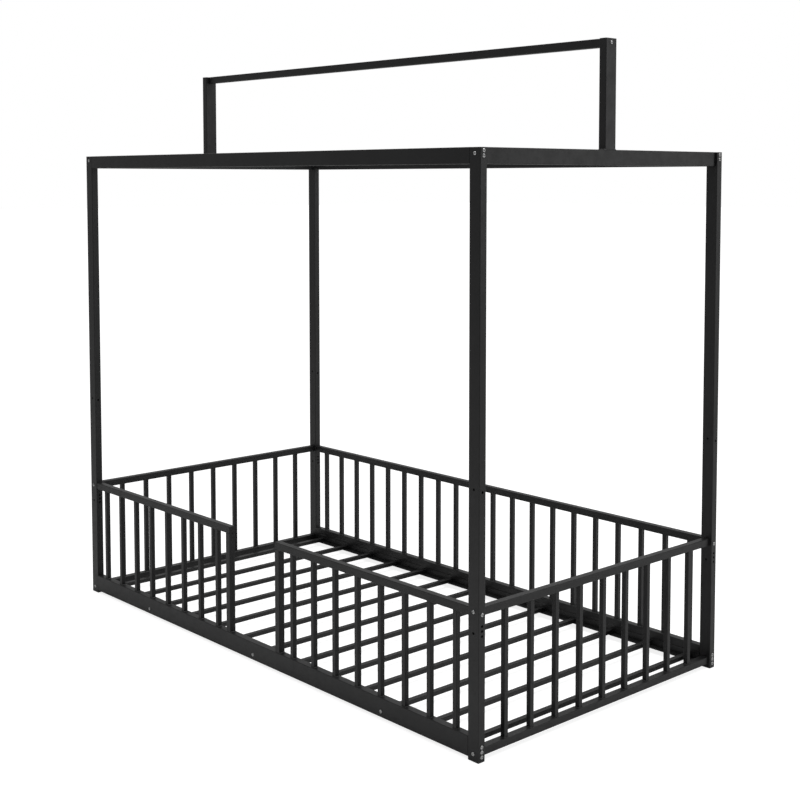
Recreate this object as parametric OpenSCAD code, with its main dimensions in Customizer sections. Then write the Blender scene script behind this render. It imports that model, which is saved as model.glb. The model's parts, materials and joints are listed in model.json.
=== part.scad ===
// Bolt-together steel canopy bed: four posts, a canopy frame with a raised ridge beam, a low slatted deck
// and a spindle fence with a doorway in the front side.
// +X runs along the bed to the right, -Y is the front side with the doorway, +Z is up. The origin is on the
// floor, under the middle of the bed. Lengths are in millimetres.

/* [Overall size] */
// Length over the posts
bed_length = 2039; // [2020:0.5:2300]
// Width over the posts
bed_width = 1061; // [1040:1:1500]
// Height of the posts and of the canopy's top
canopy_height = 1626; // [1300:1:1800]
// Height of the ridge beam's top
ridge_height = 1940; // [1850:1:2200]

/* [Steel tubes] */
// Post size along the bed
post_w = 40; // [34:0.5:50]
// Post size across the bed
post_d = 25; // [25:0.5:30]
// Height of a canopy rail
canopy_tube_h = 44; // [40:0.5:50]
// Thickness of a canopy rail, and the narrow side of a ridge upright
canopy_tube_t = 25; // [20:0.5:25]
// Wide side of a ridge upright
upright_w = 46; // [40:0.5:50]
// Height of the ridge beam
ridge_tube_h = 25; // [22:0.5:30]
// Thickness of the ridge beam
ridge_tube_t = 20; // [18:0.5:25]
// Height of a side rail
side_tube_h = 57; // [54:0.5:65]
// Thickness of a side rail
side_tube_t = 25; // [20:0.5:25]
// Height of an end rail at deck level
end_tube_h = 22; // [20:0.5:30]
// Width of an end rail, lying flat
end_tube_w = 25; // [20:0.5:32]
// Height of a fence top rail
fence_tube_h = 23.5; // [21:0.5:30]
// Thickness of a fence top rail
fence_tube_t = 21.5; // [18:0.5:24]
// Side of the square stile beside the doorway
stile_w = 21.5; // [16:0.5:21.5]
// Side of a square spindle
spindle_w = 15; // [10:0.5:18]
// Wall of the frame tubes
frame_wall = 1.2; // [1:0.1:1.5]
// Wall of the spindles, stiles and slats
light_wall = 1; // [0.8:0.1:1.2]
// Outside corner radius of the frame tubes
frame_corner = 2; // [2:0.5:4]
// Outside corner radius of the spindles, stiles and slats
light_corner = 1.5; // [1.3:0.1:2]

/* [Deck] */
// Bottom of the side rails above the floor
side_rail_bottom = 8.5; // [6:0.5:9]
// Bottom of the end rails above the floor
end_rail_bottom = 13; // [11:0.5:13.5]
// Top of the slats above the floor
slat_top = 32.5; // [31.5:0.5:36]
// Number of slats
slat_count = 13; // [13:1:13]
// Distance between slat centres
slat_pitch = 155.6; // [145:0.1:158]
// Width of a slat
slat_w = 17.5; // [14:0.5:30]
// Height of a slat
slat_h = 14; // [12:0.5:14.5]
// Slats between one bolted cross tie and the next
tie_step = 4; // [4:1:4]
// Shift of the slats, and of the back spindles, towards the right end
layout_shift = 5; // [-10:0.5:10]
// Leg of the angle that carries the slats
bearer_leg = 25; // [20:0.5:30]
// Thickness of that angle
bearer_t = 2.5; // [2:0.1:3]

/* [Fence] */
// Top of the fence rails above the floor
fence_top = 415.5; // [410:0.5:418]
// Centre of a doorway stile from the middle of the bed
stile_x = 133; // [120:0.5:160]
// Centre of the first front spindle from the middle of the bed
front_spindle_start = 203.5; // [190:0.5:210]
// Distance between front spindles
front_spindle_pitch = 102.8; // [95:0.1:103]
// Spindles in each half of the front fence
front_spindle_count = 8; // [6:1:8]
// Distance between back spindles
back_spindle_pitch = 97.3; // [90:0.1:98]
// Spindles in the back fence
back_spindle_count = 20; // [16:1:20]
// Distance between the spindles of an end fence
end_spindle_pitch = 102.7; // [90:0.1:105]
// Spindles in each end fence
end_spindle_count = 9; // [7:1:9]

/* [Bolted joints] */
// Thread diameter of the bolts
bolt_d = 6; // [5:1:6]
// Diameter of the button heads
head_d = 10.5; // [9:0.5:12]
// Height of the button heads
head_h = 3.3; // [2.5:0.1:4]
// Across flats of the hexagon socket
socket_af = 4; // [3:0.5:4]
// Depth of the hexagon socket
socket_depth = 2; // [1.5:0.1:2.2]
// Clearance bores through posts and rails
bore_d = 7.5; // [6.4:0.1:8]
// Distance between the bolts of one joint
bolt_pitch = 13.5; // [13.5:0.5:15]
// Middle bolt of a side rail above the floor
side_bolt_z = 28.3; // [28:0.1:29]
// Mean height of the two crossing fence bolts
fence_bolt_z = 402; // [401:0.5:403]
// Lower bolt of a canopy side rail, measured down from the canopy's top
canopy_bolt_drop = 22.5; // [22:0.5:25]
// Height of the empty bores above the used ones, for mounting the deck and the fence higher
raised_by = 326.5; // [250:0.5:338]
// Length of the threaded insert welded into a rail's end
insert_l = 14; // [12:0.5:20]

/* [Plastic parts] */
// Flange of the post and upright top caps
cap_t = 2; // [1.5:0.5:3]
// Flange of the feet under the posts
foot_t = 3; // [2:0.5:5]
// Depth of a cap's plug inside its tube
plug_l = 12; // [8:1:20]
// Plastic above and below the bores of a spacer inside a post
spacer_margin = 5; // [3:0.5:10]

/* [Hidden] */
$fn = 32;

black = [0.13, 0.13, 0.135];
plastic = [0.09, 0.09, 0.09];
zinc = [0.72, 0.72, 0.70];

// Post centres, and the inner faces that the rails butt against
post_x = bed_length/2 - post_w/2;
post_y = bed_width/2 - post_d/2;
inner_x = bed_length/2 - post_w;
inner_y = bed_width/2 - post_d;

// Rail centres
canopy_rail_z = canopy_height - canopy_tube_h/2;
canopy_rail_y = bed_width/2 - canopy_tube_t/2;
side_rail_y = bed_width/2 - side_tube_t/2;
side_rail_z = side_rail_bottom + side_tube_h/2;
side_rail_top = side_rail_bottom + side_tube_h;
side_rail_inner_y = bed_width/2 - side_tube_t;
end_rail_z = end_rail_bottom + end_tube_h/2;
end_rail_top = end_rail_bottom + end_tube_h;
fence_rail_z = fence_top - fence_tube_h/2;
fence_rail_bottom = fence_top - fence_tube_h;
doorway_x = stile_x - stile_w/2;
front_rail_l = inner_x - doorway_x;

// Ridge frame: the uprights are welded to the tops of the canopy's end rails
ridge_inner_x = post_x - canopy_tube_t/2;
ridge_beam_z = ridge_height - ridge_tube_h/2;
upright_h = ridge_height - canopy_height;

// Slats between the bearers' upright legs
slat_z = slat_top - slat_h/2;
slat_bottom = slat_top - slat_h;
slat_end_y = side_rail_inner_y - bearer_t;
first_tie = (slat_count - 1)/2 - tie_step;

// Bores along the bed (x) and across it (y), at heights where the shanks pass each other inside the post
cross_gap = bolt_d + 0.2;
side_bolt_zs = [side_bolt_z - bolt_pitch, side_bolt_z, side_bolt_z + bolt_pitch];
end_bolt_z = side_bolt_zs[0] + cross_gap;
fence_bolt_x_z = fence_bolt_z - cross_gap/2;
fence_bolt_y_z = fence_bolt_z + cross_gap/2;
canopy_bolt_zs = [canopy_height - canopy_bolt_drop, canopy_height - canopy_bolt_drop + bolt_pitch];
canopy_bolt_z = canopy_bolt_zs[0] + cross_gap;
used_x_zs = concat(side_bolt_zs, [fence_bolt_x_z], canopy_bolt_zs);
used_y_zs = [end_bolt_z, fence_bolt_y_z, canopy_bolt_z];
spare_x_zs = [for (z = concat(side_bolt_zs, [fence_bolt_x_z])) z + raised_by];
spare_y_zs = [end_bolt_z + raised_by, fence_bolt_y_z + raised_by];
// Lowest and highest bore of each group away from the post's ends
spacer_groups = [[spare_x_zs[0], spare_x_zs[2]],
    [fence_bolt_x_z, fence_bolt_y_z],
    [fence_bolt_x_z + raised_by, fence_bolt_y_z + raised_by]];
thread_gap = 0.05;
// Room between a bolt and the end of its insert, or a plug beside it
tip_gap = 1;
// How much wider a spacer's bores are than the post's
spacer_play = 0.5;
// How far a cut reaches past a surface
overcut = 1;

// ---- Sections ----

// Rectangle with rounded corners, centred
module rounded_rect(w, h, r) {
    square([w - 2*r, h], center = true);
    square([w, h - 2*r], center = true);
    for (sx = [-1, 1], sy = [-1, 1]) {
        translate([sx*(w/2 - r), sy*(h/2 - r)])
            circle(r);
    }
}

// What fits inside a tube
module inner_rect(w, h, wall, r) {
    rounded_rect(w - 2*wall, h - 2*wall, r - wall);
}

module tube_section(w, h, wall, r) {
    difference() {
        rounded_rect(w, h, r);
        inner_rect(w, h, wall, r);
    }
}

// Extrusions centred on the origin, along X, Y and Z
module along_x(l) {
    rotate([90, 0, 90])
        linear_extrude(l, center = true)
            children();
}

module along_y(l) {
    rotate([90, 0, 0])
        linear_extrude(l, center = true)
            children();
}

module along_z(l) {
    linear_extrude(l, center = true)
        children();
}

// ---- Fasteners ----

// Turn something that points up so that it points along X or Y, to side s
module facing_x(s) {
    rotate([0, s*90, 0])
        children();
}

module facing_y(s) {
    rotate([-s*90, 0, 0])
        children();
}

// Button-head bolt: the head stands on z = 0 and the shank reaches down by l
module bolt(l) {
    rim = head_h*0.27;
    dome = head_h - rim;
    dome_r = (head_d*head_d/4 + dome*dome)/(2*dome);
    difference() {
        union() {
            intersection() {
                cylinder(d = head_d, h = head_h);
                translate([0, 0, head_h - dome_r])
                    sphere(dome_r, $fn = 64);
            }
            translate([0, 0, -l])
                cylinder(d = bolt_d, h = l + head_h/4);
        }
        translate([0, 0, head_h - socket_depth])
            cylinder(d = socket_af/cos(30), h = socket_depth + overcut, $fn = 6);
    }
}

// Through bore along X or Y, centred
module bore_x(l, extra = 0) {
    rotate([0, 90, 0])
        cylinder(d = bore_d + extra, h = l, center = true);
}

module bore_y(l, extra = 0) {
    rotate([90, 0, 0])
        cylinder(d = bore_d + extra, h = l, center = true);
}

// Threaded hole along Z, centred
module thread(l) {
    cylinder(d = bolt_d + 2*thread_gap, h = l, center = true);
}

// ---- Posts ----

module at_post(sx, sy) {
    translate([sx*post_x, sy*post_y, 0])
        children();
}

module post_bores(extra = 0) {
    for (z = concat(used_x_zs, spare_x_zs)) {
        translate([0, 0, z])
            bore_x(post_w + 2*overcut, extra);
    }
    for (z = concat(used_y_zs, spare_y_zs)) {
        translate([0, 0, z])
            bore_y(post_d + 2*overcut, extra);
    }
}

module post(sx, sy) {
    tube_l = canopy_height - cap_t - foot_t;
    color(black)
    at_post(sx, sy)
    difference() {
        translate([0, 0, foot_t + tube_l/2])
            along_z(tube_l)
                tube_section(post_w, post_d, frame_wall, frame_corner);
        post_bores();
    }
}

// Plastic blocks inside the posts, so that the bolts away from the posts' ends don't crush the tube
module post_spacers() {
    reach = bore_d/2 + spacer_margin;
    color(plastic)
    for (sx = [-1, 1], sy = [-1, 1]) {
        at_post(sx, sy)
        difference() {
            for (g = spacer_groups) {
                translate([0, 0, (g[0] + g[1])/2])
                    along_z(g[1] - g[0] + 2*reach)
                        inner_rect(post_w, post_d, frame_wall, frame_corner);
            }
            post_bores(spacer_play);
        }
    }
}

// Plug with a flange that covers the tube's end: the flange is below z = 0, the plug above it
module tube_cap(w, h, flange, plug, wall, r) {
    translate([0, 0, -flange/2])
        along_z(flange)
            rounded_rect(w, h, r);
    translate([0, 0, plug/2])
        along_z(plug)
            inner_rect(w, h, wall, r);
}

module post_top_caps() {
    top_plug = canopy_height - cap_t - canopy_bolt_zs[1] - bolt_d/2 - tip_gap;
    color(plastic)
    for (sx = [-1, 1], sy = [-1, 1]) {
        at_post(sx, sy)
            translate([0, 0, canopy_height - cap_t])
                rotate([180, 0, 0])
                    tube_cap(post_w, post_d, cap_t, min(plug_l, top_plug), frame_wall, frame_corner);
    }
}

module post_feet() {
    foot_plug = side_bolt_zs[0] - foot_t - bolt_d/2 - tip_gap;
    color(plastic)
    for (sx = [-1, 1], sy = [-1, 1]) {
        at_post(sx, sy)
            translate([0, 0, foot_t])
                tube_cap(post_w, post_d, foot_t, min(plug_l, foot_plug), frame_wall, frame_corner);
    }
}

// ---- Canopy ----

module canopy_side_rail(sy) {
    color(black)
    translate([0, sy*canopy_rail_y, canopy_rail_z])
        along_x(2*inner_x)
            tube_section(canopy_tube_t, canopy_tube_h, frame_wall, frame_corner);
}

module canopy_end_rail(sx) {
    color(black)
    translate([sx*post_x, 0, canopy_rail_z])
        along_y(2*inner_y)
            tube_section(canopy_tube_t, canopy_tube_h, frame_wall, frame_corner);
}

module ridge_upright(sx) {
    tube_l = upright_h - cap_t;
    color(black)
    translate([sx*post_x, 0, canopy_height])
    difference() {
        translate([0, 0, tube_l/2])
            along_z(tube_l)
                tube_section(canopy_tube_t, upright_w, frame_wall, frame_corner);
        translate([0, 0, ridge_beam_z - canopy_height])
            bore_x(canopy_tube_t + 2*overcut);
    }
}

module ridge_upright_caps() {
    plug = ridge_tube_h/2 - cap_t - bolt_d/2 - tip_gap;
    color(plastic)
    for (sx = [-1, 1]) {
        translate([sx*post_x, 0, ridge_height - cap_t])
            rotate([180, 0, 0])
                tube_cap(canopy_tube_t, upright_w, cap_t, plug, frame_wall, frame_corner);
    }
}

module ridge_beam() {
    color(black)
    translate([0, 0, ridge_beam_z])
        along_x(2*ridge_inner_x)
            tube_section(ridge_tube_t, ridge_tube_h, frame_wall, frame_corner);
}

// ---- Deck ----

module at_ties() {
    for (k = [-1:1]) {
        translate([k*tie_step*slat_pitch + layout_shift, 0, 0])
            children();
    }
}

module side_rail(sy) {
    color(black)
    translate([0, sy*side_rail_y, 0])
    difference() {
        translate([0, 0, side_rail_z])
            along_x(2*inner_x)
                tube_section(side_tube_t, side_tube_h, frame_wall, frame_corner);
        at_ties()
            translate([0, 0, slat_z])
                bore_y(side_tube_t + 2*overcut);
    }
}

module end_rail(sx) {
    color(black)
    translate([sx*post_x, 0, end_rail_z])
        along_y(2*inner_y)
            tube_section(end_tube_w, end_tube_h, frame_wall, frame_corner);
}

// Steel angle welded to the inside of a side rail: the slats lie on its level leg
module slat_bearer(sy) {
    color(black)
    difference() {
        along_x(2*inner_x)
            translate([sy*side_rail_inner_y, slat_bottom - bearer_t])
                scale([-sy, 1])
                    union() {
                        square([bearer_leg, bearer_t]);
                        square([bearer_t, bearer_leg]);
                    }
        at_ties()
            translate([0, sy*(side_rail_inner_y - bearer_t/2), slat_z])
                bore_y(bearer_t + 2*overcut);
    }
}

function is_tie(i) = (i - first_tie) % tie_step == 0;
function slat_x(i) = (i - (slat_count - 1)/2)*slat_pitch + layout_shift;

// The bolted ties run from leg to leg. The others stop short of their plug's flange.
module slat(i) {
    flange = is_tie(i) ? 0 : 2*cap_t;
    color(black)
    translate([slat_x(i), 0, slat_z])
        along_y(2*slat_end_y - flange)
            tube_section(slat_w, slat_h, light_wall, light_corner);
}

module slat_plugs() {
    color(plastic)
    for (i = [0:slat_count - 1], sy = [-1, 1]) {
        if (!is_tie(i)) {
            translate([slat_x(i), sy*(slat_end_y - cap_t), slat_z])
                rotate([0, 0, 90 - sy*90])
                    rotate([90, 0, 0])
                        tube_cap(slat_w, slat_h, cap_t, plug_l, light_wall, light_corner);
        }
    }
}

// ---- Fence ----

module fence_rail_x(x, y, l) {
    color(black)
    translate([x, y, fence_rail_z])
        along_x(l)
            tube_section(fence_tube_t, fence_tube_h, frame_wall, frame_corner);
}

module fence_rail_back() {
    fence_rail_x(0, post_y, 2*inner_x);
}

module fence_rail_front(sx) {
    fence_rail_x(sx*(inner_x + doorway_x + cap_t)/2, -post_y, front_rail_l - cap_t);
}

module fence_rail_end(sx) {
    color(black)
    translate([sx*post_x, 0, fence_rail_z])
        along_y(2*inner_y)
            tube_section(fence_tube_t, fence_tube_h, frame_wall, frame_corner);
}

// Plugs in the front rails' open ends, at the doorway
module fence_rail_caps() {
    color(plastic)
    for (sx = [-1, 1]) {
        translate([sx*(doorway_x + cap_t), -post_y, fence_rail_z])
            rotate([90, 0, sx*90])
                tube_cap(fence_tube_t, fence_tube_h, cap_t, plug_l, frame_wall, frame_corner);
    }
}

module doorway_stile(sx) {
    l = fence_rail_bottom - side_rail_top;
    color(black)
    translate([sx*stile_x, -post_y, side_rail_top + l/2])
        along_z(l)
            tube_section(stile_w, stile_w, light_wall, light_corner);
}

module spindle(bottom) {
    l = fence_rail_bottom - bottom;
    translate([0, 0, bottom + l/2])
        along_z(l)
            tube_section(spindle_w, spindle_w, light_wall, light_corner);
}

module spindles_back() {
    color(black)
    for (i = [0:back_spindle_count - 1]) {
        translate([(i - (back_spindle_count - 1)/2)*back_spindle_pitch + layout_shift, post_y, 0])
            spindle(side_rail_top);
    }
}

module spindles_end(sx) {
    color(black)
    for (i = [0:end_spindle_count - 1]) {
        translate([sx*post_x, (i - (end_spindle_count - 1)/2)*end_spindle_pitch, 0])
            spindle(end_rail_top);
    }
}

module spindles_front(sx) {
    color(black)
    for (i = [0:front_spindle_count - 1]) {
        translate([sx*(front_spindle_start + i*front_spindle_pitch), -post_y, 0])
            spindle(side_rail_top);
    }
}

// ---- Threaded inserts in the tubes' ends ----

// Block that fills a w by h tube, from its end at z = 0 down, with threaded holes at the given points
module insert(w, h, wall, r, holes) {
    difference() {
        translate([0, 0, -insert_l/2])
            along_z(insert_l)
                inner_rect(w, h, wall, r);
        for (p = holes) {
            translate([p[0], p[1], -insert_l/2])
                thread(insert_l + 2*overcut);
        }
    }
}

// Stand an insert in a tube end that faces along X or Y, with its section's second side upright
module in_x_end(s) {
    rotate([90, 0, s*90])
        children();
}

module in_y_end(s) {
    rotate([90, 0, 90 + s*90])
        children();
}

module canopy_inserts() {
    color(zinc)
    for (sx = [-1, 1], sy = [-1, 1]) {
        translate([sx*inner_x, sy*canopy_rail_y, canopy_rail_z])
            in_x_end(sx)
                insert(canopy_tube_t, canopy_tube_h, frame_wall, frame_corner,
                    [for (z = canopy_bolt_zs) [sx*sy*(post_y - canopy_rail_y), z - canopy_rail_z]]);
        translate([sx*post_x, sy*inner_y, canopy_rail_z])
            in_y_end(sy)
                insert(canopy_tube_t, canopy_tube_h, frame_wall, frame_corner,
                    [[0, canopy_bolt_z - canopy_rail_z]]);
    }
}

module side_rail_inserts() {
    color(zinc)
    for (sx = [-1, 1], sy = [-1, 1]) {
        translate([sx*inner_x, sy*side_rail_y, side_rail_z])
            in_x_end(sx)
                insert(side_tube_t, side_tube_h, frame_wall, frame_corner,
                    [for (z = side_bolt_zs) [sx*sy*(post_y - side_rail_y), z - side_rail_z]]);
    }
}

module end_rail_inserts() {
    color(zinc)
    for (sx = [-1, 1], sy = [-1, 1]) {
        translate([sx*post_x, sy*inner_y, end_rail_z])
            in_y_end(sy)
                insert(end_tube_w, end_tube_h, frame_wall, frame_corner, [[0, end_bolt_z - end_rail_z]]);
    }
}

module fence_inserts() {
    color(zinc)
    for (sx = [-1, 1], sy = [-1, 1]) {
        translate([sx*inner_x, sy*post_y, fence_rail_z])
            in_x_end(sx)
                insert(fence_tube_t, fence_tube_h, frame_wall, frame_corner,
                    [[0, fence_bolt_x_z - fence_rail_z]]);
        translate([sx*post_x, sy*inner_y, fence_rail_z])
            in_y_end(sy)
                insert(fence_tube_t, fence_tube_h, frame_wall, frame_corner,
                    [[0, fence_bolt_y_z - fence_rail_z]]);
    }
}

// In the beam's ends
module ridge_inserts() {
    color(zinc)
    for (sx = [-1, 1]) {
        translate([sx*ridge_inner_x, 0, ridge_beam_z])
            in_x_end(sx)
                insert(ridge_tube_t, ridge_tube_h, frame_wall, frame_corner, [[0, 0]]);
    }
}

module tie_inserts() {
    color(zinc)
    at_ties()
    for (sy = [-1, 1]) {
        translate([0, sy*slat_end_y, slat_z])
            in_y_end(sy)
                insert(slat_w, slat_h, light_wall, light_corner, [[0, 0]]);
    }
}

// ---- Bolts ----

// Through the posts along the bed, into the side, fence and canopy rails
module long_post_bolts() {
    color(zinc)
    for (sx = [-1, 1], sy = [-1, 1], z = used_x_zs) {
        translate([sx*bed_length/2, sy*post_y, z])
            facing_x(sx)
                bolt(post_w + insert_l - tip_gap);
    }
}

// Through the posts across the bed, into the end, fence and canopy rails
module short_post_bolts() {
    color(zinc)
    for (sx = [-1, 1], sy = [-1, 1], z = used_y_zs) {
        translate([sx*post_x, sy*bed_width/2, z])
            facing_y(sy)
                bolt(post_d + insert_l - tip_gap);
    }
}

// Through the side rails into the three cross ties
module tie_bolts() {
    color(zinc)
    at_ties()
    for (sy = [-1, 1]) {
        translate([0, sy*bed_width/2, slat_z])
            facing_y(sy)
                bolt(side_tube_t + bearer_t + insert_l - tip_gap);
    }
}

module ridge_beam_bolts() {
    color(zinc)
    for (sx = [-1, 1]) {
        translate([sx*(post_x + canopy_tube_t/2), 0, ridge_beam_z])
            facing_x(sx)
                bolt(canopy_tube_t + insert_l - tip_gap);
    }
}

post(-1, -1);  // post_front_left
post(1, -1);  // post_front_right
post(-1, 1);  // post_back_left
post(1, 1);  // post_back_right
post_top_caps();
post_feet();
post_spacers();
canopy_side_rail(-1);  // canopy_rail_front
canopy_side_rail(1);  // canopy_rail_back
canopy_end_rail(-1);  // canopy_rail_left
canopy_end_rail(1);  // canopy_rail_right
ridge_upright(-1);  // ridge_upright_left
ridge_upright(1);  // ridge_upright_right
ridge_beam();
ridge_upright_caps();
side_rail(-1);  // side_rail_front
side_rail(1);  // side_rail_back
end_rail(-1);  // end_rail_left
end_rail(1);  // end_rail_right
fence_rail_back();
fence_rail_end(-1);  // fence_rail_left
fence_rail_end(1);  // fence_rail_right
fence_rail_front(-1);  // fence_rail_front_left
fence_rail_front(1);  // fence_rail_front_right
fence_rail_caps();
doorway_stile(-1);  // doorway_stile_left
doorway_stile(1);  // doorway_stile_right
spindles_back();
spindles_end(-1);  // spindles_left
spindles_end(1);  // spindles_right
spindles_front(-1);  // spindles_front_left
spindles_front(1);  // spindles_front_right
slat_bearer(-1);  // slat_bearer_front
slat_bearer(1);  // slat_bearer_back
slat(0);  // slat_01
slat(1);  // slat_02
slat(2);  // slat_03
slat(3);  // slat_04
slat(4);  // slat_05
slat(5);  // slat_06
slat(6);  // slat_07
slat(7);  // slat_08
slat(8);  // slat_09
slat(9);  // slat_10
slat(10);  // slat_11
slat(11);  // slat_12
slat(12);  // slat_13
slat_plugs();
canopy_inserts();
side_rail_inserts();
end_rail_inserts();
fence_inserts();
ridge_inserts();
tie_inserts();
long_post_bolts();
short_post_bolts();
tie_bolts();
ridge_beam_bolts();
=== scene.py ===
"""Looks of the steel canopy bed: powder-coated CAD tubes, with modelled bolts, caps, plugs and welds."""
import json
import math
import random

import bmesh
import bpy
from mathutils import Matrix, Vector


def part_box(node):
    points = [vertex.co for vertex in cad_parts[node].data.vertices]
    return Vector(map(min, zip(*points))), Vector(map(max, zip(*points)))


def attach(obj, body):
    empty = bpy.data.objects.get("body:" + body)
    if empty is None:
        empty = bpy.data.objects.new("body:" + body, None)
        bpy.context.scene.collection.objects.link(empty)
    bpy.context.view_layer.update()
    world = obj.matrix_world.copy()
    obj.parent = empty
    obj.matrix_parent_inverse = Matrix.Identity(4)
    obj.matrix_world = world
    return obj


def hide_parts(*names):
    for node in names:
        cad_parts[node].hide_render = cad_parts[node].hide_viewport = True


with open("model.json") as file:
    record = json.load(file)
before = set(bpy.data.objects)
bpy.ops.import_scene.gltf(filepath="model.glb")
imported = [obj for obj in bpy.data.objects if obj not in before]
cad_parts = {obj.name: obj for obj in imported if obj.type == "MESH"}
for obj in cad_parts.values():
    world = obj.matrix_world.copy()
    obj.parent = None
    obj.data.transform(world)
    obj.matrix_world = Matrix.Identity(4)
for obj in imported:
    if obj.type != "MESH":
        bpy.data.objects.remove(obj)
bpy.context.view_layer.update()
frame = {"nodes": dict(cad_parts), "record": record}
MM = 0.001


# ---- Camera: the height of a standing person, in front of the bed's right corner ----

CAMERA_PLACE = Vector((3.4623, -2.9992, 1.5431))
CAMERA_AZIMUTH = math.radians(47.76)
CAMERA_ELEVATION = math.radians(3.755)
CAMERA_LENS = 60.65
CAMERA_SHIFT = (-0.0101, -0.1656)


def make_camera():
    """A long lens, shifted as the framing needs."""
    data = bpy.data.cameras.new("camera")
    data.lens = CAMERA_LENS
    data.sensor_width = 36.0
    data.shift_x, data.shift_y = CAMERA_SHIFT
    camera = bpy.data.objects.new("camera", data)
    camera.location = CAMERA_PLACE
    ahead = Vector((-math.sin(CAMERA_AZIMUTH) * math.cos(CAMERA_ELEVATION),
                    math.cos(CAMERA_AZIMUTH) * math.cos(CAMERA_ELEVATION),
                    -math.sin(CAMERA_ELEVATION)))
    camera.rotation_mode = "QUATERNION"
    camera.rotation_quaternion = ahead.to_track_quat("-Z", "Y")
    bpy.context.scene.collection.objects.link(camera)
    bpy.context.scene.camera = camera


make_camera()


# ---- Materials ----

def new_material(name):
    """A material with a Principled shader, and short ways to add and link nodes."""
    material = bpy.data.materials.new(name)
    material.use_nodes = True
    tree = material.node_tree
    shader = tree.nodes["Principled BSDF"]

    def add(kind, **values):
        node = tree.nodes.new("ShaderNode" + kind)
        for key, value in values.items():
            if key in node.inputs:
                node.inputs[key].default_value = value
            else:
                setattr(node, key, value)
        return node

    return material, shader, add, tree.links.new


def noise(add, link, where, scale, detail=4.0, roughness=0.55):
    node = add("TexNoise", Scale=scale, Detail=detail, Roughness=roughness)
    link(where, node.inputs["Vector"])
    return node.outputs["Fac"]


def ramp(add, link, factor, low, high, start=0.35, end=0.65):
    """A colour between low and high as factor goes from start to end."""
    node = add("ValToRGB")
    node.color_ramp.elements[0].position = start
    node.color_ramp.elements[1].position = end
    node.color_ramp.elements[0].color = (*low, 1)
    node.color_ramp.elements[1].color = (*high, 1)
    link(factor, node.inputs["Fac"])
    return node.outputs["Color"]


def between(add, link, factor, low, high, start=0.35, end=0.65):
    """A number between low and high as factor goes from start to end."""
    node = add("MapRange")
    node.inputs["From Min"].default_value = start
    node.inputs["From Max"].default_value = end
    node.inputs["To Min"].default_value = low
    node.inputs["To Max"].default_value = high
    link(factor, node.inputs["Value"])
    return node.outputs["Result"]


def bump(add, link, height, depth, strength=1.0, under=None):
    """A bump of that depth in metres, on top of another bump if one is given."""
    node = add("Bump", Strength=strength, Distance=depth)
    link(height, node.inputs["Height"])
    if under is not None:
        link(under, node.inputs["Normal"])
    return node.outputs["Normal"]


def powder_coat(name, weld=False):
    """Satin black powder coat: a fine orange peel with a sparse grain, and faint handling marks."""
    material, shader, add, link = new_material(name)
    place = add("TexCoord").outputs["Object"]
    shader.inputs["Specular IOR Level"].default_value = 0.40
    patches = noise(add, link, place, 9.0, detail=3.0)
    link(ramp(add, link, patches, (0.0058, 0.0058, 0.0062), (0.0088, 0.0088, 0.0092)),
         shader.inputs["Base Color"])
    smears = noise(add, link, place, 34.0, detail=6.0, roughness=0.7)
    link(between(add, link, smears, 0.37, 0.47), shader.inputs["Roughness"])
    peel = noise(add, link, place, 520.0, detail=2.0, roughness=0.4)
    grain = noise(add, link, place, 2400.0, detail=2.0)
    surface = bump(add, link, peel, 0.00006, 0.7)
    if weld:
        lumps = noise(add, link, place, 300.0, detail=2.0)
        surface = bump(add, link, lumps, 0.0006, 0.8, surface)
    link(bump(add, link, grain, 0.00002, 0.5, surface), shader.inputs["Normal"])
    return material


def moulded_plastic(name):
    """Matte black moulded plastic with a spark-eroded grain."""
    material, shader, add, link = new_material(name)
    place = add("TexCoord").outputs["Object"]
    shader.inputs["Specular IOR Level"].default_value = 0.4
    clouds = noise(add, link, place, 60.0)
    link(ramp(add, link, clouds, (0.008, 0.008, 0.008), (0.013, 0.013, 0.0135)), shader.inputs["Base Color"])
    link(between(add, link, clouds, 0.52, 0.64), shader.inputs["Roughness"])
    cells = add("TexVoronoi", Scale=1500.0)
    link(place, cells.inputs["Vector"])
    link(bump(add, link, cells.outputs["Distance"], 0.00005, 0.6), shader.inputs["Normal"])
    return material


def zinc_plate(name):
    """Bright zinc on a turned head. The piece's UV runs from the head's middle outwards in millimetres."""
    material, shader, add, link = new_material(name)
    shader.inputs["Metallic"].default_value = 1.0
    place = add("TexCoord").outputs["Object"]
    clouds = noise(add, link, place, 350.0, detail=5.0)
    link(ramp(add, link, clouds, (0.42, 0.425, 0.43), (0.53, 0.53, 0.52)), shader.inputs["Base Color"])
    link(between(add, link, clouds, 0.24, 0.38), shader.inputs["Roughness"])
    rings = add("TexWave", wave_type="RINGS", rings_direction="Z", Scale=1.6, Distortion=0.6, Detail=1.0)
    rings.inputs["Detail Scale"].default_value = 2.0
    link(add("UVMap", uv_map="turning").outputs["UV"], rings.inputs["Vector"])
    turned = bump(add, link, rings.outputs["Fac"], 0.00003, 0.35)
    pits = noise(add, link, place, 4000.0, detail=2.0)
    link(bump(add, link, pits, 0.00001, 0.5, turned), shader.inputs["Normal"])
    return material


def plain_steel(name):
    """Bare machined steel of the threaded inserts inside the tubes."""
    material, shader, add, link = new_material(name)
    shader.inputs["Metallic"].default_value = 1.0
    place = add("TexCoord").outputs["Object"]
    clouds = noise(add, link, place, 120.0, detail=5.0)
    link(ramp(add, link, clouds, (0.32, 0.32, 0.31), (0.46, 0.46, 0.45)), shader.inputs["Base Color"])
    link(between(add, link, clouds, 0.34, 0.5), shader.inputs["Roughness"])
    grain = noise(add, link, place, 1800.0)
    link(bump(add, link, grain, 0.00002, 0.5), shader.inputs["Normal"])
    return material


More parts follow.
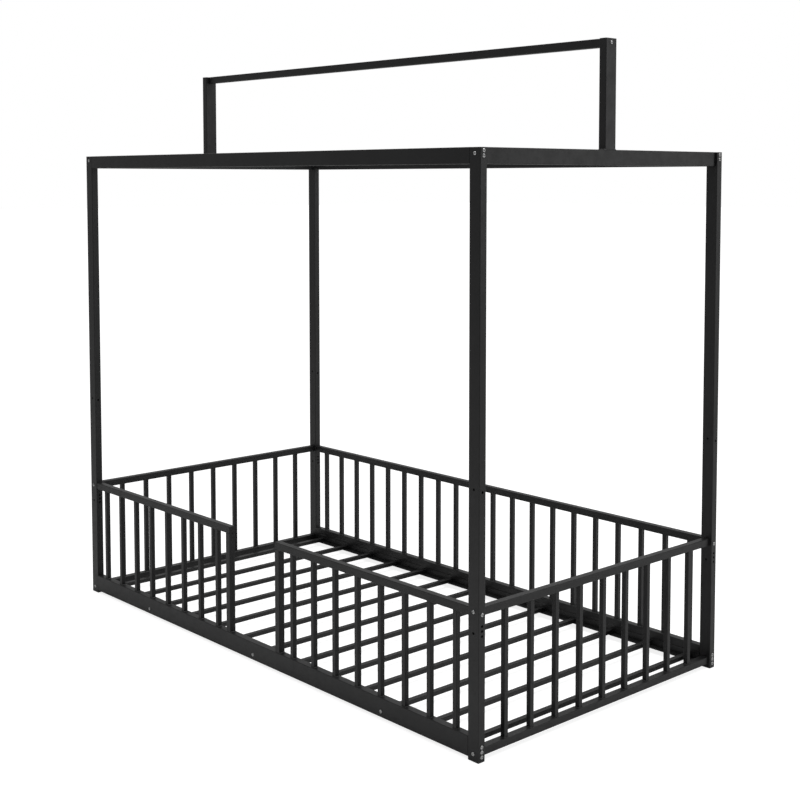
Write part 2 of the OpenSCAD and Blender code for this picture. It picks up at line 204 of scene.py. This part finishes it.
COAT = powder_coat("powder_coat_satin")
WELD = powder_coat("powder_coat_on_weld", weld=True)
PLASTIC = moulded_plastic("plastic_moulded")
ZINC = zinc_plate("zinc_plated")
STEEL = plain_steel("steel_machined")
OF_SLOT = {"powder_coat": COAT, "plastic": PLASTIC, "bolt_zinc": ZINC, "insert_steel": STEEL}

for part in frame["record"]["subparts"]:
    node = frame["nodes"][part["node"]]
    for material_slot in node.material_slots:
        material_slot.material = OF_SLOT[part["material_slot"]]


# ---- Reading the frame ----

def solids(name):
    """The box of each separate solid in a CAD node, as (lowest corner, highest corner), in a fixed order."""
    mesh = frame["nodes"][name].data
    key_of = {}
    owner = []
    for vertex in mesh.vertices:
        key = tuple(round(c, 6) for c in vertex.co)
        owner.append(key_of.setdefault(key, len(key_of)))
    parent = list(range(len(key_of)))

    def root(i):
        while parent[i] != i:
            parent[i] = parent[parent[i]]
            i = parent[i]
        return i

    for face in mesh.polygons:
        corners = [owner[i] for i in face.vertices]
        for other in corners[1:]:
            parent[root(other)] = root(corners[0])
    boxes = {}
    for key, i in key_of.items():
        low, high = boxes.setdefault(root(i), (list(key), list(key)))
        for axis in range(3):
            low[axis] = min(low[axis], key[axis])
            high[axis] = max(high[axis], key[axis])
    ordered = sorted(boxes.values())
    return [(Vector(low), Vector(high)) for low, high in ordered]


# ---- Mesh tools ----

def rounded_outline(half_w, half_d, radius, arc=6):
    """Points round a rectangle with rounded corners, anticlockwise."""
    radius = max(min(radius, half_w, half_d), 0.05 * MM)
    points = []
    for corner, (sx, sy) in enumerate([(1, 1), (-1, 1), (-1, -1), (1, -1)]):
        for step in range(arc + 1):
            angle = math.radians(90 * corner + 90 * step / arc)
            points.append(Vector((sx * (half_w - radius) + radius * math.cos(angle),
                                  sy * (half_d - radius) + radius * math.sin(angle))))
    return points


def add_ring(bm, outline, height):
    return [bm.verts.new((p.x, p.y, height)) for p in outline]


def bridge(bm, lower, upper):
    """Quads between two rings with as many points."""
    count = len(lower)
    for i in range(count):
        j = (i + 1) % count
        bm.faces.new((lower[i], lower[j], upper[j], upper[i]))


def fan(bm, ring, height, upward):
    """Closes a ring with a fan to a point in its middle."""
    middle = sum((v.co for v in ring), Vector()) / len(ring)
    centre = bm.verts.new((middle.x, middle.y, height))
    count = len(ring)
    for i in range(count):
        j = (i + 1) % count
        bm.faces.new((ring[i], ring[j], centre) if upward else (ring[j], ring[i], centre))


def place(bm, start, matrix):
    """Moves the points added since there were start of them."""
    bm.verts.ensure_lookup_table()
    bmesh.ops.transform(bm, matrix=matrix, verts=bm.verts[start:])


def facing(direction, origin):
    """A matrix that stands local +Z along direction, with local +Y as near to the world's +Z as it can be."""
    z = direction.normalized()
    near = Vector((0, 0, 1)) if abs(z.z) < 0.5 else Vector((0, 1, 0))
    x = near.cross(z).normalized()
    y = z.cross(x)
    turn = Matrix((x, y, z)).transposed().to_4x4()
    return Matrix.Translation(origin) @ turn


def make_piece(name, bm, material, replaced=(), smooth_angle=35):
    """Turns a bmesh into a smooth-shaded piece on the root body."""
    bmesh.ops.recalc_face_normals(bm, faces=bm.faces)
    mesh = bpy.data.meshes.new(name)
    bm.to_mesh(mesh)
    bm.free()
    mesh.materials.append(material)
    mesh.shade_smooth()
    mesh.set_sharp_from_angle(angle=math.radians(smooth_angle))
    piece = bpy.data.objects.new(name, mesh)
    bpy.context.scene.collection.objects.link(piece)
    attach(piece, "root")
    if replaced:
        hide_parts(*replaced)
    return piece


# ---- Button-head bolts ----

HEAD_R = 5.25 * MM
HEAD_H = 3.0 * MM
SHANK_R = 3.0 * MM
SOCKET_AF = 4.0 * MM
SOCKET_DEPTH = 1.9 * MM
THREAD_PITCH = 1.0 * MM
MOST_THREADS = 16
# The dome of the head: where it starts above the seat, the angles of its arc, and the flat on its top
DOME_START = 0.85 * MM
DOME_LOW = math.radians(8)
DOME_HIGH = math.radians(62)
DOME_STEPS = 8
DOME_FLAT_R = 2.66 * MM
BOLT_SIDES = 48


def circle(radius):
    return [Vector((radius * math.cos(math.tau * i / BOLT_SIDES), radius * math.sin(math.tau * i / BOLT_SIDES)))
            for i in range(BOLT_SIDES)]


def hexagon(across_flats):
    """As many points as a circle has, lying on a hexagon."""
    points = []
    for i in range(BOLT_SIDES):
        angle = math.tau * i / BOLT_SIDES
        from_flat = (angle % math.radians(60)) - math.radians(30)
        radius = across_flats / 2 / math.cos(from_flat)
        points.append(Vector((radius * math.cos(angle), radius * math.sin(angle))))
    return points


def bolt_profile(length):
    """(outline, height) of each ring, from the shank's tip to the socket's floor. The head's seat is at 0."""
    rings = [(circle(SHANK_R * 0.72), -length), (circle(SHANK_R * 0.97), -length + 0.8 * MM)]
    threads = min(int((length - 6 * MM) / THREAD_PITCH), MOST_THREADS)
    for turn in range(threads):
        base = -length + 0.9 * MM + turn * THREAD_PITCH
        rings += [(circle(SHANK_R * 0.97), base), (circle(SHANK_R * 0.86), base + THREAD_PITCH * 0.45)]
    rings += [(circle(SHANK_R * 0.97), -length + 1.0 * MM + threads * THREAD_PITCH)]
    rings += [(circle(SHANK_R * 0.97), -0.3 * MM), (circle(SHANK_R * 1.05), 0.0)]
    rings += [(circle(HEAD_R - 0.3 * MM), 0.0), (circle(HEAD_R), 0.3 * MM), (circle(HEAD_R), 0.75 * MM)]
    for step in range(1, DOME_STEPS + 1):
        angle = DOME_LOW + (DOME_HIGH - DOME_LOW) * step / DOME_STEPS
        radius = (HEAD_R - 0.05 * MM) * math.cos(angle) / math.cos(DOME_LOW)
        risen = (math.sin(angle) - math.sin(DOME_LOW)) / (math.sin(DOME_HIGH) - math.sin(DOME_LOW))
        rings.append((circle(max(radius, DOME_FLAT_R)), DOME_START + (HEAD_H - DOME_START) * risen))
    rings += [(circle(2.5 * MM), HEAD_H), (hexagon(SOCKET_AF + 0.3 * MM), HEAD_H - 0.22 * MM)]
    rings += [(hexagon(SOCKET_AF), HEAD_H - 0.4 * MM), (hexagon(SOCKET_AF), HEAD_H - SOCKET_DEPTH)]
    return rings


def add_bolt(bm, uv, length, matrix):
    """A bolt whose head stands on the matrix's local z = 0. The UV is the place in the head in millimetres."""
    start = len(bm.verts)
    rings = [add_ring(bm, outline, height) for outline, height in bolt_profile(length)]
    first_face = len(bm.faces)
    fan(bm, rings[0], -length, upward=False)
    for lower, upper in zip(rings, rings[1:]):
        bridge(bm, lower, upper)
    fan(bm, rings[-1], HEAD_H - SOCKET_DEPTH - 0.5 * MM, upward=True)
    bm.faces.ensure_lookup_table()
    for face in bm.faces[first_face:]:
        for loop in face.loops:
            loop[uv].uv = (loop.vert.co.x / MM, loop.vert.co.y / MM)
    place(bm, start, matrix)


def make_bolts(node, axis, outward):
    """The bolts of one CAD node. outward gives the head's side from the solid's middle."""
    bm = bmesh.new()
    uv = bm.loops.layers.uv.new("turning")
    spin = random.Random(node)
    for low, high in solids(node):
        middle = (low + high) / 2
        side = outward(middle)
        direction = Vector((0, 0, 0))
        direction[axis] = side
        seat = middle.copy()
        head_top = high[axis] if side > 0 else low[axis]
        seat[axis] = head_top - side * HEAD_H
        length = high[axis] - low[axis] - HEAD_H
        turn = Matrix.Rotation(spin.uniform(0, math.tau), 4, "Z")
        add_bolt(bm, uv, length, facing(direction, seat) @ turn)
    make_piece("detailed_" + node, bm, ZINC, [node], smooth_angle=28)


def sign(value):
    return 1 if value > 0 else -1


make_bolts("long_post_bolts", 0, lambda p: sign(p.x))
make_bolts("ridge_beam_bolts", 0, lambda p: sign(p.x))
make_bolts("short_post_bolts", 1, lambda p: sign(p.y))
make_bolts("tie_bolts", 1, lambda p: sign(p.y))


# ---- Plastic caps, feet and plugs ----

CAP_FLANGE = 2.0 * MM
FOOT_FLANGE = 3.0 * MM
FRAME_WALL = 1.2 * MM
LIGHT_WALL = 1.0 * MM
FRAME_CORNER = 2.0 * MM
LIGHT_CORNER = 1.5 * MM
RIB_PITCH = 2.2 * MM


def add_cap(bm, half_w, half_d, corner, flange, plug, wall, edge, crown, matrix):
    """A flange with a rounded outer edge and a faint crown at local z = 0, over a ribbed plug towards -Z."""
    start = len(bm.verts)
    plug_w, plug_d = half_w - wall, half_d - wall
    plug_corner = max(corner - wall, 0.4 * MM)
    lead = 0.8 * MM

    def ring(shrink, height, narrow=False):
        if narrow:
            outline = rounded_outline(plug_w - shrink, plug_d - shrink, plug_corner)
        else:
            outline = rounded_outline(half_w - shrink, half_d - shrink, corner - shrink * 0.5)
        return add_ring(bm, outline, height)

    rings = [ring(lead, -flange - plug, narrow=True), ring(0.35 * MM, -flange - plug + lead, narrow=True)]
    ribs = max(int((plug - 2 * lead) / RIB_PITCH), 0)
    for rib in range(ribs):
        base = -flange - plug + lead + rib * RIB_PITCH
        rings += [ring(0.35 * MM, base + 0.8 * MM, narrow=True), ring(0.02 * MM, base + 1.2 * MM, narrow=True)]
        rings += [ring(0.02 * MM, base + 1.6 * MM, narrow=True), ring(0.35 * MM, base + 2.0 * MM, narrow=True)]
    rings += [ring(0.35 * MM, -flange, narrow=True), ring(0.0, -flange), ring(0.0, -crown - edge)]
    steps = 5
    for step in range(1, steps + 1):
        angle = math.radians(90 * step / steps)
        rings.append(ring(edge * (1 - math.cos(angle)), -crown - edge + edge * math.sin(angle)))
    rings.append(ring(edge + 1.5 * MM, -crown * 0.6))
    rings.append(ring(min(half_w, half_d) * 0.7, -crown * 0.15))
    fan(bm, rings[0], -flange - plug, upward=False)
    for lower, upper in zip(rings, rings[1:]):
        bridge(bm, lower, upper)
    fan(bm, rings[-1], 0.0, upward=True)
    place(bm, start, matrix)


def make_caps(node, name, axis, outward, flange, wall, edge, crown, corner=FRAME_CORNER):
    """The caps of one CAD node, each filling the box of its solid, with its flange on the outer side."""
    bm = bmesh.new()
    for low, high in solids(node):
        middle = (low + high) / 2
        side = outward(middle)
        direction = Vector((0, 0, 0))
        direction[axis] = side
        top = middle.copy()
        top[axis] = high[axis] if side > 0 else low[axis]
        matrix = facing(direction, top)
        size = high - low
        across = matrix.to_3x3().transposed() @ size
        plug = size[axis] - flange
        add_cap(bm, abs(across.x) / 2, abs(across.y) / 2, corner, flange, plug, wall, edge, crown, matrix)
    make_piece(name, bm, PLASTIC, [node])


make_caps("post_top_caps", "moulded_post_caps", 2, lambda p: 1,
          CAP_FLANGE, FRAME_WALL, edge=0.9 * MM, crown=0.25 * MM)
make_caps("ridge_upright_caps", "moulded_upright_caps", 2, lambda p: 1,
          CAP_FLANGE, FRAME_WALL, edge=0.9 * MM, crown=0.25 * MM)
make_caps("post_feet", "moulded_feet", 2, lambda p: -1,
          FOOT_FLANGE, FRAME_WALL, edge=1.0 * MM, crown=0.2 * MM)
make_caps("fence_rail_caps", "moulded_doorway_caps", 0, lambda p: -sign(p.x),
          CAP_FLANGE, FRAME_WALL, edge=0.8 * MM, crown=0.2 * MM)
make_caps("slat_plugs", "moulded_slat_plugs", 1, lambda p: sign(p.y),
          CAP_FLANGE, LIGHT_WALL, edge=0.5 * MM, crown=0.1 * MM, corner=LIGHT_CORNER)


# ---- Welds ----

# How far a bead reaches below the face it lies on, and into the tube it goes round
SINK = 0.9 * MM
BEAD_INSIDE = 0.35 * MM
FOOT_BEAD_INSIDE = 1.0 * MM
BEAD_RIPPLE = 0.14
BEAD_STEP = 1.1 * MM


def fillet_section(size, inside):
    """A bead's section, as (outwards, upwards) points, with a concave face between two legs of that size."""
    return [(-inside, -SINK), (size, -SINK), (size, 0.0), (size * 0.62, size * 0.26),
            (size * 0.28, size * 0.58), (0.0, size), (-inside, size)]


def flush_section(swell, inside):
    """A bead's section where it fills the groove at a rail's rounded edge."""
    return [(-inside, -2.2 * MM), (0.1 * MM, -2.2 * MM), (0.4 * MM * swell, -1.5 * MM),
            (0.55 * MM * swell, -0.6 * MM), (0.5 * MM * swell, 0.3 * MM), (0.1 * MM, 1.1 * MM),
            (-inside, 1.1 * MM)]


def skin(bm, here, there):
    """Quads between two sections of a bead."""
    for k in range(len(here)):
        m = (k + 1) % len(here)
        bm.faces.new((here[k], there[k], there[m], here[m]))


def close_bead(bm, loops):
    """Skins a bead that runs back into its own start."""
    for i, here in enumerate(loops):
        skin(bm, here, loops[(i + 1) % len(loops)])


def weld_outline(half_w, half_d, corner, leg, chance):
    """A closed path round a tube, as (point, outward direction, leg), with a ripple from the laid bead."""
    base = rounded_outline(half_w, half_d, corner, arc=4)
    dense = []
    for i, here in enumerate(base):
        there = base[(i + 1) % len(base)]
        steps = max(int((there - here).length / BEAD_STEP), 1)
        dense += [here.lerp(there, s / steps) for s in range(steps)]
    phase = chance.uniform(0, math.tau)
    path = []
    for i, point in enumerate(dense):
        after = dense[(i + 1) % len(dense)]
        before = dense[i - 1]
        along = (after - before).normalized()
        outward = Vector((along.y, -along.x))
        size = leg * (1 + BEAD_RIPPLE * math.sin(phase + i * 1.9) + chance.uniform(-0.08, 0.08))
        path.append((point, outward, size))
    return path


def add_weld_ring(bm, centre, half_w, half_d, corner, leg, upward, chance):
    """A fillet bead round a tube that stands on a face at centre, going up or down from it."""
    start = len(bm.verts)
    loops = []
    for point, outward, size in weld_outline(half_w, half_d, corner, leg, chance):
        section = fillet_section(size, BEAD_INSIDE)
        loops.append([bm.verts.new((point.x + outward.x * a, point.y + outward.y * a, b)) for a, b in section])
    close_bead(bm, loops)
    flip = Matrix.Identity(4) if upward else Matrix.Scale(-1, 4, Vector((0, 0, 1)))
    place(bm, start, Matrix.Translation(centre) @ flip)


def make_tube_welds(name, nodes, corner, leg, ends=("low", "high")):
    """Beads at both ends of every upright tube in these CAD nodes."""
    bm = bmesh.new()
    chance = random.Random(name)
    for node in nodes:
        for low, high in solids(node):
            half = (high - low) / 2
            foot = Vector((low.x + half.x, low.y + half.y, low.z))
            head = Vector((low.x + half.x, low.y + half.y, high.z))
            if "low" in ends:
                add_weld_ring(bm, foot, half.x, half.y, corner, leg, True, chance)
            if "high" in ends:
                add_weld_ring(bm, head, half.x, half.y, corner, leg, False, chance)
    make_piece(name, bm, WELD, smooth_angle=60)


SPINDLE_BEAD = 1.5 * MM
STILE_BEAD = 1.4 * MM
make_tube_welds("welds_back_spindles", ["spindles_back"], LIGHT_CORNER, SPINDLE_BEAD)
make_tube_welds("welds_left_spindles", ["spindles_left"], LIGHT_CORNER, SPINDLE_BEAD)
make_tube_welds("welds_right_spindles", ["spindles_right"], LIGHT_CORNER, SPINDLE_BEAD)
make_tube_welds("welds_front_left_spindles", ["spindles_front_left"], LIGHT_CORNER, SPINDLE_BEAD)
make_tube_welds("welds_front_right_spindles", ["spindles_front_right"], LIGHT_CORNER, SPINDLE_BEAD)
make_tube_welds("welds_stile_feet", ["doorway_stile_left", "doorway_stile_right"], LIGHT_CORNER, STILE_BEAD,
                ends=("low",))


def add_foot_weld(bm, low, high, corner, leg, chance):
    """The bead round a ridge upright's foot: a fillet on the rail's flat top, flush at the rail's edges."""
    half = (high - low) / 2
    start = len(bm.verts)
    loops = []
    for point, outward, size in weld_outline(half.x, half.y, corner, leg, chance):
        fillet = fillet_section(size, FOOT_BEAD_INSIDE)
        flush = flush_section(size / leg, FOOT_BEAD_INSIDE)
        flat = min(abs(outward.y) * 1.4, 1.0)
        section = [Vector(b).lerp(Vector(a), flat) for a, b in zip(fillet, flush)]
        loops.append([bm.verts.new((point.x + outward.x * a, point.y + outward.y * a, b)) for a, b in section])
    close_bead(bm, loops)
    middle = (low + high) / 2
    place(bm, start, Matrix.Translation(Vector((middle.x, middle.y, low.z))))


RIDGE_BEAD = 2.6 * MM


def make_ridge_welds():
    """Beads round the feet of both ridge uprights."""
    bm = bmesh.new()
    chance = random.Random("ridge")
    for node in ("ridge_upright_left", "ridge_upright_right"):
        for low, high in solids(node):
            add_foot_weld(bm, low, high, FRAME_CORNER, RIDGE_BEAD, chance)
    make_piece("welds_ridge_uprights", bm, WELD, smooth_angle=60)


make_ridge_welds()


def add_stitch(bm, centre, length, leg, side, chance):
    """A short bead along X in the corner above a bearer's upright leg, against the rail's face on that side."""
    start = len(bm.verts)
    loops = []
    for step in range(STITCH_STEPS + 1):
        t = step / STITCH_STEPS
        taper = math.sqrt(max(1 - (2 * t - 1) ** 8, 0.0))
        size = leg * max(taper, 0.12) * (1 + 0.12 * math.sin(step * 1.7) + chance.uniform(-0.06, 0.06))
        x = (t - 0.5) * length
        section = [(0.4 * MM, -0.4 * MM), (0.4 * MM, size), (0.0, size), (-size * 0.3, size * 0.66),
                   (-size * 0.7, size * 0.28), (-size, 0.0), (-size, -0.4 * MM)]
        loops.append([bm.verts.new((x, side * a, b)) for a, b in section])
    for here, there in zip(loops, loops[1:]):
        skin(bm, here, there)
    bm.faces.new(loops[0])
    bm.faces.new(list(reversed(loops[-1])))
    place(bm, start, Matrix.Translation(centre))


STITCH = 28 * MM
STITCH_BEAD = 2.2 * MM
STITCH_STEPS = 26
# Two slat pitches
STITCH_PITCH = 311.2 * MM


def make_bearer_welds():
    """Stitch welds that hold each slat bearer on its side rail."""
    bm = bmesh.new()
    chance = random.Random("bearers")
    for node, side in (("slat_bearer_front", -1), ("slat_bearer_back", 1)):
        low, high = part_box(node)
        face = low.y if side < 0 else high.y
        count = int((high.x - low.x) / STITCH_PITCH)
        for i in range(count + 1):
            x = (i - count / 2) * STITCH_PITCH
            add_stitch(bm, Vector((x, face, high.z)), STITCH, STITCH_BEAD, side, chance)
    make_piece("welds_bearers", bm, WELD, smooth_angle=60)


make_bearer_welds()


# ---- Floor, backdrop and light ----

FLOOR_HALF = 60.0
# The floor's own light near the bed. It rises to full white between these two distances, to meet the backdrop.
FLOOR_GLOW = 0.84
FLOOR_GLOW_START = 3.0
FLOOR_GLOW_END = 9.0


def make_floor():
    """A pale floor that glows for the camera only, and reflects plain light onto the bed."""
    bm = bmesh.new()
    bmesh.ops.create_grid(bm, x_segments=8, y_segments=8, size=FLOOR_HALF)
    mesh = bpy.data.meshes.new("floor")
    bm.to_mesh(mesh)
    bm.free()
    material, shader, add, link = new_material("floor_pale")
    seen = add("LightPath").outputs["Is Camera Ray"]
    link(ramp(add, link, seen, (0.75, 0.75, 0.75), (0.42, 0.42, 0.42), 0.0, 1.0), shader.inputs["Base Color"])
    shader.inputs["Roughness"].default_value = 0.9
    shader.inputs["Specular IOR Level"].default_value = 0.0
    shader.inputs["Emission Color"].default_value = (1, 1, 1, 1)
    distance = add("VectorMath", operation="LENGTH")
    link(add("TexCoord").outputs["Object"], distance.inputs[0])
    glow = between(add, link, distance.outputs["Value"], FLOOR_GLOW, 1.0, FLOOR_GLOW_START, FLOOR_GLOW_END)
    shown = add("Math", operation="MULTIPLY")
    link(glow, shown.inputs[0])
    link(seen, shown.inputs[1])
    link(shown.outputs["Value"], shader.inputs["Emission Strength"])
    mesh.materials.append(material)
    floor = bpy.data.objects.new("floor", mesh)
    bpy.context.scene.collection.objects.link(floor)


def add_area(name, location, target, size, power):
    data = bpy.data.lights.new(name, "AREA")
    data.shape = "RECTANGLE"
    data.size, data.size_y = size
    data.energy = power
    light = bpy.data.objects.new(name, data)
    light.location = location
    light.rotation_mode = "QUATERNION"
    light.rotation_quaternion = (Vector(target) - Vector(location)).to_track_quat("-Z", "Y")
    bpy.context.scene.collection.objects.link(light)


# The studio is brightest above the bed's back left corner
BRIGHT_SIDE = (-0.50, 0.55, 0.67)
STUDIO_DIM = 0.12
STUDIO_BRIGHT = 0.52


def make_world():
    """White behind the bed, and a dimmer studio in its reflections."""
    world = bpy.data.worlds.new("studio")
    bpy.context.scene.world = world
    world.use_nodes = True
    tree = world.node_tree
    tree.nodes.clear()
    seen = tree.nodes.new("ShaderNodeBackground")
    seen.inputs["Color"].default_value = (1, 1, 1, 1)
    seen.inputs["Strength"].default_value = 1.0
    lit = tree.nodes.new("ShaderNodeBackground")
    lit.inputs["Color"].default_value = (1, 1, 1, 1)
    direction = tree.nodes.new("ShaderNodeTexCoord")
    towards = tree.nodes.new("ShaderNodeVectorMath")
    towards.operation = "DOT_PRODUCT"
    towards.inputs[1].default_value = BRIGHT_SIDE
    level = tree.nodes.new("ShaderNodeMapRange")
    level.inputs["From Min"].default_value = -1.0
    level.inputs["To Min"].default_value = STUDIO_DIM
    level.inputs["To Max"].default_value = STUDIO_BRIGHT
    tree.links.new(direction.outputs["Generated"], towards.inputs[0])
    tree.links.new(towards.outputs["Value"], level.inputs["Value"])
    tree.links.new(level.outputs["Result"], lit.inputs["Strength"])
    mix = tree.nodes.new("ShaderNodeMixShader")
    path = tree.nodes.new("ShaderNodeLightPath")
    output = tree.nodes.new("ShaderNodeOutputWorld")
    tree.links.new(path.outputs["Is Camera Ray"], mix.inputs["Fac"])
    tree.links.new(lit.outputs["Background"], mix.inputs[1])
    tree.links.new(seen.outputs["Background"], mix.inputs[2])
    tree.links.new(mix.outputs["Shader"], output.inputs["Surface"])


make_floor()
make_world()
add_area("overhead", (0.6, 0.6, 5.6), (0, 0, 0), (6.0, 6.0), 260)
add_area("right", (4.8, 4.2, 2.2), (0, 0, 0.8), (2.2, 3.0), 27)

bpy.context.scene.view_settings.view_transform = "Standard"
bpy.context.scene.view_settings.look = "None"
